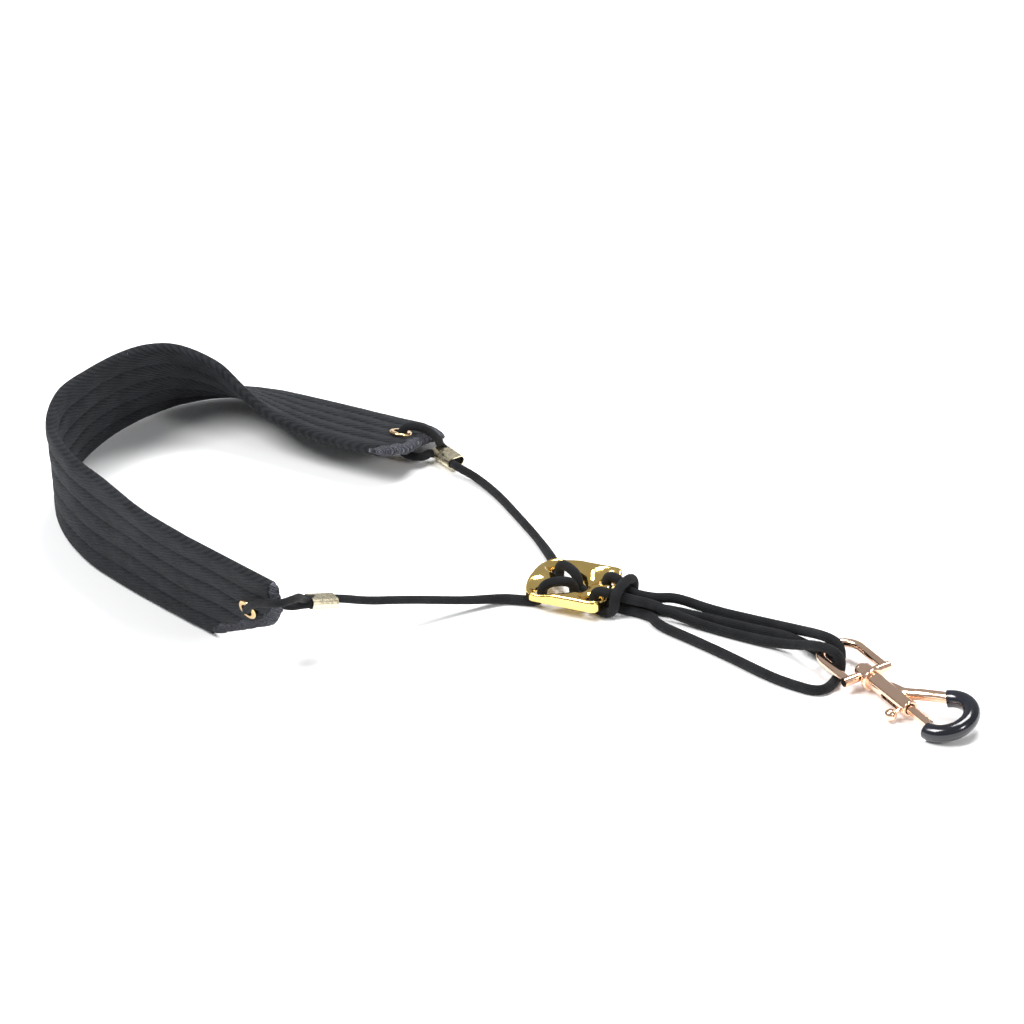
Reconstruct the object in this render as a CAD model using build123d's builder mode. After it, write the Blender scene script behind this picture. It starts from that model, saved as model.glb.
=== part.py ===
from build123d import *
import math
import os

# Saxophone neck strap lying on a flat surface, unloaded.  Millimetres, +Z up, +X runs
# from the neck band along the row to the snap hook.  The origin is the middle of the
# strap's footprint (cords left out) on the surface it lies on.

# ---------------------------------------------------------------- driving dimensions
ROW_X = 9.8            # shifts the drawing zero so that the origin is under the middle
ROW_Y = 29.9

BAND_THICK = 4.2        # neck band, over the ribs
BAND_LIFT = 0.35        # keeps its lowest corner off the surface
HEM_THICK = 5.0         # folded and stitched hem at each end
NEAR_DIR = (0.966, -0.258, 0.0)       # along the band at its near end
NEAR_FACE = (-0.245, -0.919, -0.309)  # outward face of the band at its near end
FAR_DIR = (0.992, 0.127, 0.0)
FAR_FACE = (-0.0364, 0.2847, 0.9567)

EYELET_BORE = 4.8       # brass eyelets
EYELET_BARREL = 6.0
EYELET_FLANGE = 7.8
FLANGE_THICK = 0.9

CORD_THIN = 3.0         # cord between the band and the adjuster
CORD_THICK = 3.6        # cord through the adjuster and to the hook
FERRULE_LONG = 10.0     # crimped ferrules
FERRULE_WIDE = 7.4
FERRULE_HIGH = 4.0
FERRULE_WALL = 0.4
CORD_PITCH = 3.1        # the two cords side by side in a ferrule
TIGHT_BEND = 3.6        # where a cord leaves a ferrule
SEAM = 0.3              # gap where one stretch of the cord hands over to the next

PLATE_TURN = 9.0        # adjuster plate, turned on the surface by this angle
PLATE_BASE = 4.1
PLATE_THICK = 4.8
PLATE_RIGHT = 13.8
PLATE_HALF_WIDE = 13.3
SMALL_HOLE_X = 9.8
SMALL_HOLE_Y = 5.9
SMALL_HOLE = 5.2
SADDLE_DEEP = 2.2

HOOK_HEADING = -25.5    # direction of the snap hook's long axis on the surface
HOOK_DIP = 2.0          # and how far it dips towards the hook's tip
HOOK_ROLL = 14.0
EYE_ROLL = 3.0
BARREL_LONG = 22.0
BARREL = 6.0
BORE = 4.2
COLLAR = 8.4
STUD = 3.0
STUD_HEAD = 4.8
EYE_BAR = 3.2           # bar of the swivel eye
EYE_HALF_WIDE = 7.6
EYE_CROSS_X = -5.0
EYE_ARC_X = -19.5
BOSS = 6.6
BOSS_BORE = 3.3
ARM = 4.2               # hook arm
ARM_RADIUS = 9.1
ARM_CENTRE = (34.0, 6.5)
ARM_START_ANGLE = 132.0
ARM_END_ANGLE = -72.0
SLEEVE = 6.2            # dipped sleeve on the hook
SLEEVE_START_ANGLE = 141.0
SLEEVE_END_ANGLE = -76.0
PLUNGER = 3.5
PLUNGER_BACK = 15.0
PLUNGER_FRONT = 34.4
KNOB = 4.4
KNOB_X = 19.3
KNOB_REACH = 6.6
STEM = 1.5
SLOT_WIDE = 2.0
SLOT_BACK = 8.2
SLOT_FRONT = 20.3
SPRING_WIRE = 0.4
SPRING_OUTER = 3.6
SPRING_TURNS = 7
PLUG_LONG = 1.6

os.makedirs("parts", exist_ok=True)


# ---------------------------------------------------------------- shared helpers
def at(x, y, z):
    """A point given from the drawing's zero, in the part frame."""
    return Vector(x + ROW_X, y + ROW_Y, z)


def on_band(point):
    """A point of the neck band's middle surface."""
    return at(point[0], point[1], point[2] + BAND_LIFT)


def unit(v):
    return Vector(*v).normalized()


def frame_of(origin, along, face):
    """A plane with local x along the band and local z out of its face."""
    return Plane(origin=origin, x_dir=unit(along), z_dir=unit(face))


def inside(plane, points):
    """Points in a plane's own x, y, z as points in the part frame."""
    return [plane.from_local_coords(Vector(*p)) for p in points]


def bend_radii(points, tight):
    """The largest tangent arcs that fit the corners of a route, or a tight one."""
    radii = []
    for index in range(1, len(points) - 1):
        first = points[index] - points[index - 1]
        second = points[index + 1] - points[index]
        half_turn = math.radians(first.get_angle(second)) / 2
        run = min(first.length, second.length)
        radius = 0.45 * run / math.tan(half_turn)
        if index in tight:
            radius = min(radius, TIGHT_BEND)
        radii.append(radius)
    return radii


def between(first, second, share):
    """A point part of the way along a straight run."""
    return first + (second - first) * share


def beyond(first, second, distance):
    """A point past the second one, on the line from the first."""
    return second + (second - first).normalized() * distance


def cord_length(points, radii):
    """Length of the route after its corners are rounded."""
    total = sum((b - a).length for a, b in zip(points, points[1:]))
    for before, corner, after, radius in zip(points, points[1:], points[2:], radii):
        turn = math.radians((corner - before).get_angle(after - corner))
        total += radius * turn - 2 * radius * math.tan(turn / 2)
    return total


def export_cord(name, points, diameter, tight=()):
    """Sweep a round cord along a route with rounded corners and store it."""
    radii = bend_radii(points, tight)
    with BuildPart() as cord:
        with BuildLine() as route:
            FilletPolyline(*points, radius=radii)
        start = Plane(origin=route.line @ 0, z_dir=route.line % 0)
        with BuildSketch(start):
            Circle(diameter / 2)
        sweep(path=route.line)
    cord.part.label = name
    export_step(cord.part, f"parts/{name}.step")
    length = cord_length(points, radii)
    section = math.pi * diameter**2 / 4
    share = cord.part.volume / (section * length)
    shown = ", ".join(f"{r:.1f}" for r in radii)
    low = cord.part.bounding_box().min.Z
    print(f"{name}: length {length:.1f}, volume share {share:.3f}, low {low:.2f}, radii {shown}")


# ---------------------------------------------------------------- neck band
# Rulings across the band from its lower to its upper edge, from the near end round
# the back of the neck to the far end, which twists until it lies nearly flat.
RULINGS = [
    ((-89.3, -93.9, 0.6), (-92.8, -107.3, 43.4)),
    ((-110.2, -88.2, 0.5), (-114.2, -100.5, 43.9)),
    ((-131.1, -81.8, 0.4), (-135.4, -90.3, 44.4)),
    ((-150.6, -74.0, 0.4), (-154.7, -80.8, 44.6)),
    ((-167.6, -61.4, 0.3), (-171.2, -66.0, 44.7)),
    ((-180.6, -44.4, 0.3), (-179.6, -45.6, 45.0)),
    ((-188.2, -24.4, 0.6), (-178.8, -26.0, 44.4)),
    ((-190.2, -6.4, 0.8), (-176.0, -8.4, 43.1)),
    ((-189.2, 7.8, 1.0), (-171.3, 3.0, 41.6)),
    ((-186.2, 20.5, 1.3), (-164.4, 10.6, 38.8)),
    ((-179.6, 35.6, 1.6), (-153.7, 15.9, 32.5)),
    ((-168.6, 47.8, 1.9), (-144.2, 16.6, 24.7)),
    ((-154.6, 54.6, 2.0), (-135.9, 16.3, 19.7)),
    ((-138.0, 57.4, 2.0), (-126.1, 16.4, 16.7)),
    ((-121.0, 59.1, 2.1), (-114.1, 16.6, 15.3)),
    ((-104.0, 60.7, 2.1), (-98.5, 17.8, 15.0)),
]
NEAR_END = frame_of(on_band(RULINGS[0][0]), NEAR_DIR, NEAR_FACE)
FAR_END = frame_of(on_band(RULINGS[-1][0]), FAR_DIR, FAR_FACE)
NEAR_EYELET = (29.0, 26.6)
FAR_EYELET = (6.6, -22.6)


def ruling_plane(index):
    """The plane of the band's cross-section at one ruling."""
    low, high = (on_band(p) for p in RULINGS[index])
    first = max(index - 1, 0)
    last = min(index + 1, len(RULINGS) - 1)
    ahead = on_band(RULINGS[last][0]) + on_band(RULINGS[last][1])
    behind = on_band(RULINGS[first][0]) + on_band(RULINGS[first][1])
    across = (high - low).normalized()
    along = ahead - behind
    along = along - across * along.dot(across)
    if index == 0:
        along = unit(NEAR_DIR) * -1
    if index == len(RULINGS) - 1:
        along = unit(FAR_DIR)
    return Plane(origin=(low + high) * 0.5, x_dir=across, z_dir=along)


NEAR_TAIL = [(0, 0), (2, 0), (4, 5.4), (36.5, 25.6), (42.5, 33.4), (44.4, 45), (0, 45)]
NEAR_HEM = [
    (2, 0), (38.9, 22), (46, 31.5), (47.8, 45), (44.4, 45), (42.5, 33.4), (36.5, 25.6),
    (4, 5.4),
]
FAR_TAIL = [
    (0, 0), (3.5, 0), (11, -5), (12.5, -12), (12, -22), (12.3, -33), (9.5, -40),
    (5.5, -45), (0, -45),
]
FAR_HEM = [
    (5.5, 0), (11, -1.5), (18, -7), (16, -12), (15, -22), (15.5, -34), (12.5, -41),
    (8, -45), (5.5, -45), (9.5, -40), (12.3, -33), (12, -22), (12.5, -12), (11, -5),
    (3.5, 0),
]

with BuildPart() as neck_band:
    for index in range(len(RULINGS)):
        low, high = RULINGS[index]
        width = (Vector(*high) - Vector(*low)).length
        with BuildSketch(ruling_plane(index)):
            Rectangle(width, BAND_THICK)
    loft()
    with BuildSketch(NEAR_END.offset(-BAND_THICK / 2)):
        with BuildLine():
            Polyline(*NEAR_TAIL, close=True)
        make_face()
    extrude(amount=BAND_THICK)
    with BuildSketch(FAR_END.offset(-BAND_THICK / 2)):
        with BuildLine():
            Polyline(*FAR_TAIL, close=True)
        make_face()
    extrude(amount=BAND_THICK)
    with BuildSketch(NEAR_END.offset(-BAND_THICK)):
        with Locations(NEAR_EYELET):
            Circle(EYELET_BARREL / 2)
    extrude(amount=2 * BAND_THICK, mode=Mode.SUBTRACT)
    with BuildSketch(FAR_END.offset(-BAND_THICK)):
        with Locations(FAR_EYELET):
            Circle(EYELET_BARREL / 2)
    extrude(amount=2 * BAND_THICK, mode=Mode.SUBTRACT)
neck_band.part.label = "neck_band"
export_step(neck_band.part, "parts/neck_band.step")
print("neck_band", neck_band.part.volume, neck_band.part.bounding_box())


def export_hem(name, plane, outline):
    """The hem at one end of the band, stitched round its cut edges."""
    with BuildPart() as hem:
        with BuildSketch(plane.offset(-HEM_THICK / 2)):
            with BuildLine():
                Polyline(*outline, close=True)
            make_face()
        extrude(amount=HEM_THICK)
    hem.part.label = name
    export_step(hem.part, f"parts/{name}.step")


export_hem("end_hem_near", NEAR_END, NEAR_HEM)
export_hem("end_hem_far", FAR_END, FAR_HEM)


def export_eyelet(name, plane, centre):
    """A brass eyelet: barrel through the band and a rolled flange on its face."""
    with BuildPart() as eyelet:
        with BuildSketch(plane.offset(-BAND_THICK / 2)):
            with Locations(centre):
                Circle(EYELET_BARREL / 2)
        extrude(amount=BAND_THICK)
        with BuildSketch(plane.offset(BAND_THICK / 2)):
            with Locations(centre):
                Circle(EYELET_FLANGE / 2)
        extrude(amount=FLANGE_THICK)
        outer = eyelet.edges().filter_by(GeomType.CIRCLE).sort_by(SortBy.RADIUS)[-2:]
        top = outer.sort_by(lambda e: -abs((e.center() - plane.origin).dot(plane.z_dir)))[0]
        fillet(top, 0.6)
        with BuildSketch(plane.offset(-BAND_THICK)):
            with Locations(centre):
                Circle(EYELET_BORE / 2)
        extrude(amount=3 * BAND_THICK, mode=Mode.SUBTRACT)
    eyelet.part.label = name
    export_step(eyelet.part, f"parts/{name}.step")


export_eyelet("eyelet_near", NEAR_END, NEAR_EYELET)
export_eyelet("eyelet_far", FAR_END, FAR_EYELET)


def export_washer(name, plane, centre):
    """The washer that the eyelet is clinched over, on the inner face."""
    with BuildPart() as washer:
        with BuildSketch(plane.offset(-BAND_THICK / 2 - 0.6)):
            with Locations(centre):
                Circle(EYELET_FLANGE / 2)
                Circle(EYELET_BORE / 2, mode=Mode.SUBTRACT)
        extrude(amount=0.6)
    washer.part.label = name
    export_step(washer.part, f"parts/{name}.step")


export_washer("eyelet_washer_near", NEAR_END, NEAR_EYELET)
export_washer("eyelet_washer_far", FAR_END, FAR_EYELET)


# ---------------------------------------------------------------- ferrules and cord loops
def ferrule_frame(start, direction):
    """Local z runs along the ferrule, local x to the side, level with the surface."""
    along = unit(direction)
    side = along.cross(Vector(0, 0, 1)).normalized()
    return Plane(origin=start, x_dir=side, z_dir=along)


NEAR_FERRULE = ferrule_frame(at(-51.1, -92.5, 23.0), (0.51, 0.83, -0.22))
FAR_FERRULE = ferrule_frame(at(-83.8, 48.3, 3.6), (0.92, -0.39, 0.0))


def export_ferrule(name, frame):
    """A flattened brass tube crimped over two cords."""
    with BuildPart() as ferrule:
        with BuildSketch(frame):
            SlotOverall(FERRULE_WIDE, FERRULE_HIGH)
            offset(amount=-FERRULE_WALL, mode=Mode.SUBTRACT)
        extrude(amount=FERRULE_LONG)
    ferrule.part.label = name
    export_step(ferrule.part, f"parts/{name}.step")


export_ferrule("ferrule_near", NEAR_FERRULE)
export_ferrule("ferrule_far", FAR_FERRULE)

half = CORD_PITCH / 2
last = FERRULE_LONG
near_in = inside(NEAR_FERRULE, [(half, 0, last - 1), (half, 0, -1.6)])
near_out = inside(NEAR_FERRULE, [(-half, 0, -1.6), (-half, 0, last)])
near_round = inside(
    NEAR_END,
    [
        (35.0, 20.5, -9.5), (29.0, 26.6, -4.8), (29.0, 26.6, 4.8), (38.0, 37.0, 5.2),
        (50.6, 41.2, 4.0), (50.6, 38.0, -3.0), (45.6, 31.8, -8.5),
    ],
)
export_cord("cord_loop_near", near_in + near_round + near_out, CORD_THIN, tight=(1, 3, 4, 9))

far_in = inside(FAR_FERRULE, [(-half, 0, last - 1), (-half, 0, -1.6)])
far_out = inside(FAR_FERRULE, [(half, 0, -1.6), (half, 0, last)])
far_round = inside(
    FAR_END,
    [
        (19.5, -19.0, 2.5), (12.8, -20.5, 5.6), (6.6, -22.6, 4.8), (6.6, -22.6, -4.8),
        (15.5, -22.0, -5.2),
    ],
)
export_cord("cord_loop_far", far_in + far_round + far_out, CORD_THIN, tight=(1, 7))


# ---------------------------------------------------------------- adjuster plate
PLATE = Plane(
    origin=at(5.9, -10.8, 0),
    x_dir=(math.cos(math.radians(PLATE_TURN)), math.sin(math.radians(PLATE_TURN)), 0),
    z_dir=(0, 0, 1),
)
PLATE_TOP = PLATE_BASE + PLATE_THICK

with BuildPart() as adjuster_plate:
    with BuildSketch(PLATE.offset(PLATE_BASE)):
        with BuildLine():
            corner = PLATE_HALF_WIDE
            Line((-10.8, -corner), (PLATE_RIGHT, -corner))
            Line((PLATE_RIGHT, -corner), (PLATE_RIGHT, corner))
            Line((PLATE_RIGHT, corner), (-10.8, corner))
            ThreePointArc((-10.8, corner), (-15.4, 0), (-10.8, -corner))
        make_face()
    extrude(amount=PLATE_THICK)
    fillet(adjuster_plate.edges().filter_by(Axis.Z), 3.4)
    fillet(adjuster_plate.faces().sort_by(Axis.Z)[-1].edges(), 1.0)
    with BuildSketch(PLATE.offset(PLATE_BASE)):
        with Locations((-8.7, 8.2), (-8.7, -8.2)):
            Circle(2.8)
        with Locations((2.4, 0)):
            Circle(3.0)
        make_hull()
        with Locations((-14.2, 0)):
            Ellipse(7.6, 6.0, mode=Mode.SUBTRACT)
    extrude(amount=PLATE_THICK, mode=Mode.SUBTRACT)
    chamfer(adjuster_plate.faces().sort_by(Axis.Z)[-1].inner_wires()[0].edges(), 0.5)
    with BuildSketch(PLATE.offset(PLATE_BASE)):
        with Locations((SMALL_HOLE_X, SMALL_HOLE_Y), (SMALL_HOLE_X, -SMALL_HOLE_Y)):
            Circle(SMALL_HOLE / 2)
    extrude(amount=PLATE_THICK, mode=Mode.SUBTRACT)
    with BuildSketch(PLATE.offset(PLATE_TOP - SADDLE_DEEP)):
        with Locations((SMALL_HOLE_X, SMALL_HOLE_Y), (SMALL_HOLE_X, -SMALL_HOLE_Y)):
            Circle(3.5)
        with Locations((SMALL_HOLE_X + 4, SMALL_HOLE_Y - 0.5)):
            Rectangle(8, 5.4)
        with Locations((SMALL_HOLE_X + 4, 0.5 - SMALL_HOLE_Y)):
            Rectangle(8, 5.4)
    extrude(amount=PLATE_THICK, mode=Mode.SUBTRACT)
adjuster_plate.part.label = "adjuster_plate"
export_step(adjuster_plate.part, "parts/adjuster_plate.step")

LOW = 1.9               # height of a cord's centre under the plate
NEAR_ENTRY = (-16.0, -9.8, LOW)
FAR_ENTRY = (-12.5, 14.6, LOW)
near_reeve = [
    NEAR_ENTRY, (-8.5, -8.0, LOW), (-8.5, -8.0, 9.3), (0.9, -2.1, 9.3),
    (0.9, -1.95, LOW), (24.0, -1.95, LOW),
]
far_reeve = [
    FAR_ENTRY, (-8.5, 8.0, LOW), (-8.5, 8.0, 9.3), (0.9, 2.1, 9.3),
    (0.9, 1.95, LOW), (24.0, 1.95, LOW),
]
export_cord("plate_strand_near", inside(PLATE, near_reeve), CORD_THICK)
export_cord("plate_strand_far", inside(PLATE, far_reeve), CORD_THICK)

hitch = [
    (24.0, -1.95, 6.0), (19.5, -2.0, 6.1), (14.8, -5.0, 8.9), (9.8, -5.9, 8.9),
    (9.8, -5.9, LOW), (18.0, -7.4, LOW), (18.0, -7.0, 10.9), (19.4, 7.0, 10.9),
    (19.4, 7.4, LOW), (9.8, 5.9, LOW), (9.8, 5.9, 8.9), (14.8, 5.0, 8.9),
    (19.5, 2.0, 6.1), (24.0, 1.95, 6.0),
]
export_cord("girth_hitch", inside(PLATE, hitch), CORD_THICK)

# ---------------------------------------------------------------- cord from band to plate
near_pad = [
    at(-40.5, -71.5, 16.0), at(-35.0, -59.3, 12.0), at(-29.2, -48.6, 8.4),
    at(-21.7, -37.0, 4.6),
]
near_pad = inside(NEAR_FERRULE, [(-half, 0, last + SEAM), (-half, 0, last + 3.2)]) + near_pad
near_pad += [beyond(*inside(PLATE, [near_reeve[1], NEAR_ENTRY]), 6.2)]
near_pad += [beyond(*inside(PLATE, [near_reeve[1], NEAR_ENTRY]), SEAM)]
far_pad = [
    at(-64.5, 40.8, 2.6), at(-52.5, 35.6, 1.7), at(-39.0, 26.4, 1.7), at(-26.0, 17.4, 1.7),
]
far_pad = inside(FAR_FERRULE, [(half, 0, last + SEAM), (half, 0, last + 3.2)]) + far_pad
far_pad += [beyond(*inside(PLATE, [far_reeve[1], FAR_ENTRY]), 6.9)]
far_pad += [beyond(*inside(PLATE, [far_reeve[1], FAR_ENTRY]), SEAM)]
export_cord("pad_strand_near", near_pad, CORD_THIN)
export_cord("pad_strand_far", far_pad, CORD_THIN)

# ---------------------------------------------------------------- cord from plate to hook
LEAVE = 24.0 + SEAM
TURN_OFF = 29.5
front_route = [
    at(40.5, -13.2, LOW), at(55.3, -15.5, LOW), at(71.8, -18.8, LOW), at(88.9, -23.0, LOW),
    at(99.0, -24.5, LOW), at(113.7, -24.3, LOW), at(112.2, -10.1, LOW), at(112.2, -10.1, 10.0),
    at(102.5, -8.6, 10.0), at(87.5, -3.7, 3.0), at(73.2, -4.9, LOW), at(54.0, -5.6, LOW),
    at(40.5, -6.6, 4.0),
]
back_route = [
    at(39.0, -2.4, LOW), at(51.8, -1.0, LOW), at(70.0, 0.9, LOW), at(87.0, 3.7, LOW),
    at(109.2, -4.9, LOW), at(109.2, -4.9, 10.1), at(101.5, -2.2, 10.1), at(84.0, 7.2, 2.8),
    at(67.2, 6.6, LOW), at(52.0, 4.6, 2.1), at(39.6, 1.0, 5.4),
]
under_near = between(front_route[4], front_route[5], 0.5)
over_near = between(front_route[8], front_route[9], 0.5)
under_far = between(back_route[3], back_route[4], 0.5)
over_far = between(back_route[6], back_route[7], 0.5)
export_cord(
    "hook_strand_front",
    inside(PLATE, [(LEAVE, -1.95, LOW), (TURN_OFF, -1.95, LOW)]) + front_route[:5] + [under_near],
    CORD_THICK,
)
export_cord(
    "hook_strand_near",
    [over_near] + front_route[9:] + inside(PLATE, [(TURN_OFF, -1.95, 6.0), (LEAVE, -1.95, 6.0)]),
    CORD_THICK,
)
export_cord(
    "hook_strand_middle",
    inside(PLATE, [(LEAVE, 1.95, LOW), (TURN_OFF, 1.95, LOW)]) + back_route[:4] + [under_far],
    CORD_THICK,
)
export_cord(
    "hook_strand_back",
    [over_far] + back_route[7:] + inside(PLATE, [(TURN_OFF, 1.95, 6.0), (LEAVE, 1.95, 6.0)]),
    CORD_THICK,
)
near_wrap = [beyond(front_route[4], under_near, SEAM)] + front_route[5:9]
near_wrap += [beyond(front_route[9], over_near, SEAM)]
far_wrap = [beyond(back_route[3], under_far, SEAM)] + back_route[4:7]
far_wrap += [beyond(back_route[7], over_far, SEAM)]
export_cord("ring_wrap_near", near_wrap, CORD_THICK)
export_cord("ring_wrap_far", far_wrap, CORD_THICK)

# ---------------------------------------------------------------- snap hook frames
turn = math.radians(HOOK_HEADING)
dip = math.radians(HOOK_DIP)
AXIS = Vector(math.cos(turn) * math.cos(dip), math.sin(turn) * math.cos(dip), -math.sin(dip))
LEVEL = Vector(-math.sin(turn), math.cos(turn), 0)
HOOK_ZERO = at(127.1, -12.6, 5.3)


def rolled(angle):
    """The hook's own frame, rolled about its long axis: local x runs to the tip."""
    roll = math.radians(angle)
    upward = AXIS.cross(LEVEL)
    side = LEVEL * math.cos(roll) + upward * math.sin(roll)
    return Plane(origin=HOOK_ZERO, x_dir=AXIS, z_dir=AXIS.cross(side))


HOOK = rolled(HOOK_ROLL)
EYE = rolled(EYE_ROLL)


def across_axis(frame, x):
    """The plane square to the hook's long axis at a distance x along it."""
    return Plane(origin=frame.from_local_coords(Vector(x, 0, 0)), x_dir=frame.y_dir, z_dir=frame.x_dir)


def on_circle(angle):
    """A point of the hook arm's arc."""
    a = math.radians(angle)
    return (
        ARM_CENTRE[0] + ARM_RADIUS * math.cos(a),
        ARM_CENTRE[1] + ARM_RADIUS * math.sin(a),
    )


# ---------------------------------------------------------------- swivel eye
with BuildPart() as swivel_eye:
    with BuildLine(EYE) as bow:
        left = EYE_ARC_X
        side = EYE_HALF_WIDE
        Line((EYE_CROSS_X, -side), (left, -side))
        ThreePointArc((left, -side), (left - side, 0), (left, side))
        Line((left, side), (EYE_CROSS_X, side))
    with BuildSketch(Plane(origin=bow.line @ 0, z_dir=bow.line % 0)):
        Circle(EYE_BAR / 2)
    sweep(path=bow.line)
    bar_reach = side + EYE_BAR / 2 + 0.25
    bar_start = EYE.from_local_coords(Vector(EYE_CROSS_X, -bar_reach, 0))
    with BuildSketch(Plane(origin=bar_start, x_dir=EYE.x_dir, z_dir=EYE.y_dir)):
        Circle(EYE_BAR / 2 + 0.1)
    extrude(amount=2 * bar_reach)
    with BuildSketch(across_axis(EYE, EYE_CROSS_X - 1.8)):
        Circle(BOSS / 2)
    extrude(amount=3.6)
    with BuildSketch(across_axis(EYE, EYE_CROSS_X - 6)):
        Circle(BOSS_BORE / 2)
    extrude(amount=12, mode=Mode.SUBTRACT)
swivel_eye.part.label = "swivel_eye"
export_step(swivel_eye.part, "parts/swivel_eye.step")

# ---------------------------------------------------------------- swivel stud
with BuildPart() as swivel_stud:
    with BuildSketch(across_axis(HOOK, EYE_CROSS_X - 2.1)):
        Circle(STUD / 2)
    extrude(amount=4.4)
    with BuildSketch(across_axis(HOOK, EYE_CROSS_X - 4.3)):
        Circle(STUD_HEAD / 2)
    extrude(amount=2.2)
    fillet(swivel_stud.edges().filter_by(GeomType.CIRCLE).sort_by(SortBy.RADIUS)[-2:], 0.8)
swivel_stud.part.label = "swivel_stud"
export_step(swivel_stud.part, "parts/swivel_stud.step")

# ---------------------------------------------------------------- hook body
with BuildPart() as hook_body:
    with BuildSketch(across_axis(HOOK, -2.7)):
        Circle(COLLAR / 2)
    extrude(amount=2.3)
    fillet(hook_body.edges(), 0.6)
    with BuildSketch(across_axis(HOOK, -0.5)):
        Circle(BARREL / 2)
    extrude(amount=BARREL_LONG + 0.5)
    fillet(hook_body.edges().sort_by(lambda e: (e.center() - HOOK_ZERO).dot(AXIS))[-1], 0.4)
    with BuildLine(HOOK) as arm:
        start = on_circle(ARM_START_ANGLE)
        middle = on_circle((ARM_START_ANGLE + ARM_END_ANGLE) / 2)
        slope = math.radians(ARM_START_ANGLE - 90)
        leave = (math.cos(slope), math.sin(slope))
        Spline((7.0, 1.4), (12.5, 3.0), (17.5, 6.4), (22.0, 9.6), start, tangents=[(1, 0.1), leave])
        ThreePointArc(start, middle, on_circle(ARM_END_ANGLE))
    with BuildSketch(Plane(origin=arm.line @ 0, z_dir=arm.line % 0)):
        Circle(ARM / 2)
    sweep(path=arm.line)
    with BuildSketch(across_axis(HOOK, 0.0)):
        Circle(BORE / 2)
    extrude(amount=BARREL_LONG + 3, mode=Mode.SUBTRACT)
    slot_floor = Plane(origin=HOOK.origin, x_dir=HOOK.x_dir, z_dir=HOOK.y_dir * -1)
    with BuildSketch(slot_floor):
        with Locations(((SLOT_BACK + SLOT_FRONT) / 2, 0)):
            SlotOverall(SLOT_FRONT - SLOT_BACK, SLOT_WIDE)
    extrude(amount=BARREL, mode=Mode.SUBTRACT)
hook_body.part.label = "hook_body"
export_step(hook_body.part, "parts/hook_body.step")
print("hook_body", hook_body.part.volume, len(hook_body.solids()))

# ---------------------------------------------------------------- dipped sleeve
with BuildPart() as hook_sleeve:
    with BuildLine(HOOK) as coat:
        begin = on_circle(SLEEVE_START_ANGLE)
        centre = on_circle((SLEEVE_START_ANGLE + SLEEVE_END_ANGLE) / 2)
        ThreePointArc(begin, centre, on_circle(SLEEVE_END_ANGLE - 3))
    with BuildSketch(Plane(origin=coat.line @ 0, z_dir=coat.line % 0)):
        Circle(SLEEVE / 2)
    sweep(path=coat.line)
    with BuildLine(HOOK) as core:
        ThreePointArc(
            on_circle(SLEEVE_START_ANGLE + 5),
            on_circle((SLEEVE_START_ANGLE + ARM_END_ANGLE) / 2),
            on_circle(ARM_END_ANGLE),
        )
    with BuildSketch(Plane(origin=core.line @ 0, z_dir=core.line % 0)):
        Circle(ARM / 2)
    sweep(path=core.line, mode=Mode.SUBTRACT)
hook_sleeve.part.label = "hook_sleeve"
export_step(hook_sleeve.part, "parts/hook_sleeve.step")

# ---------------------------------------------------------------- plunger and thumb knob
with BuildPart() as plunger:
    with BuildSketch(across_axis(HOOK, PLUNGER_BACK)):
        Circle(PLUNGER / 2)
    extrude(amount=PLUNGER_FRONT - PLUNGER_BACK)
    chamfer(plunger.edges().sort_by(lambda e: (e.center() - HOOK_ZERO).dot(AXIS))[-1], 0.4)
plunger.part.label = "plunger"
export_step(plunger.part, "parts/plunger.step")

with BuildPart() as thumb_knob:
    knob_foot = HOOK.from_local_coords(Vector(KNOB_X, -PLUNGER / 2 + 0.3, 0))
    with BuildSketch(Plane(origin=knob_foot, x_dir=HOOK.x_dir, z_dir=HOOK.y_dir * -1)):
        Circle(STEM / 2)
    extrude(amount=KNOB_REACH - PLUNGER / 2)
    with Locations(Location(HOOK.from_local_coords(Vector(KNOB_X, -KNOB_REACH, 0)))):
        Sphere(KNOB / 2)
    with BuildSketch(across_axis(HOOK, PLUNGER_BACK)):
        Circle(PLUNGER / 2)
    extrude(amount=PLUNGER_FRONT - PLUNGER_BACK, mode=Mode.SUBTRACT)
thumb_knob.part.label = "thumb_knob"
export_step(thumb_knob.part, "parts/thumb_knob.step")

# ---------------------------------------------------------------- spring and plug in the barrel
with BuildPart() as barrel_plug:
    with BuildSketch(across_axis(HOOK, 0.0)):
        Circle(BORE / 2)
    extrude(amount=PLUG_LONG)
barrel_plug.part.label = "barrel_plug"
export_step(barrel_plug.part, "parts/barrel_plug.step")

with BuildPart() as trigger_spring:
    spring_long = PLUNGER_BACK - PLUG_LONG - SPRING_WIRE - 0.1
    spring_foot = HOOK.from_local_coords(Vector(PLUG_LONG + SPRING_WIRE / 2 + 0.05, 0, 0))
    with BuildLine():
        coil = Helix(
            pitch=spring_long / SPRING_TURNS,
            height=spring_long,
            radius=(SPRING_OUTER - SPRING_WIRE) / 2,
            center=spring_foot,
            direction=AXIS,
        )
    with BuildSketch(Plane(origin=coil @ 0, z_dir=coil % 0)):
        Circle(SPRING_WIRE / 2)
    sweep(path=coil, is_frenet=True)
trigger_spring.part.label = "trigger_spring"
export_step(trigger_spring.part, "parts/trigger_spring.step")
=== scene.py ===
import math
import bmesh
import bpy
import numpy as np
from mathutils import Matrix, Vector, noise
from mathutils.geometry import delaunay_2d_cdt


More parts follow.
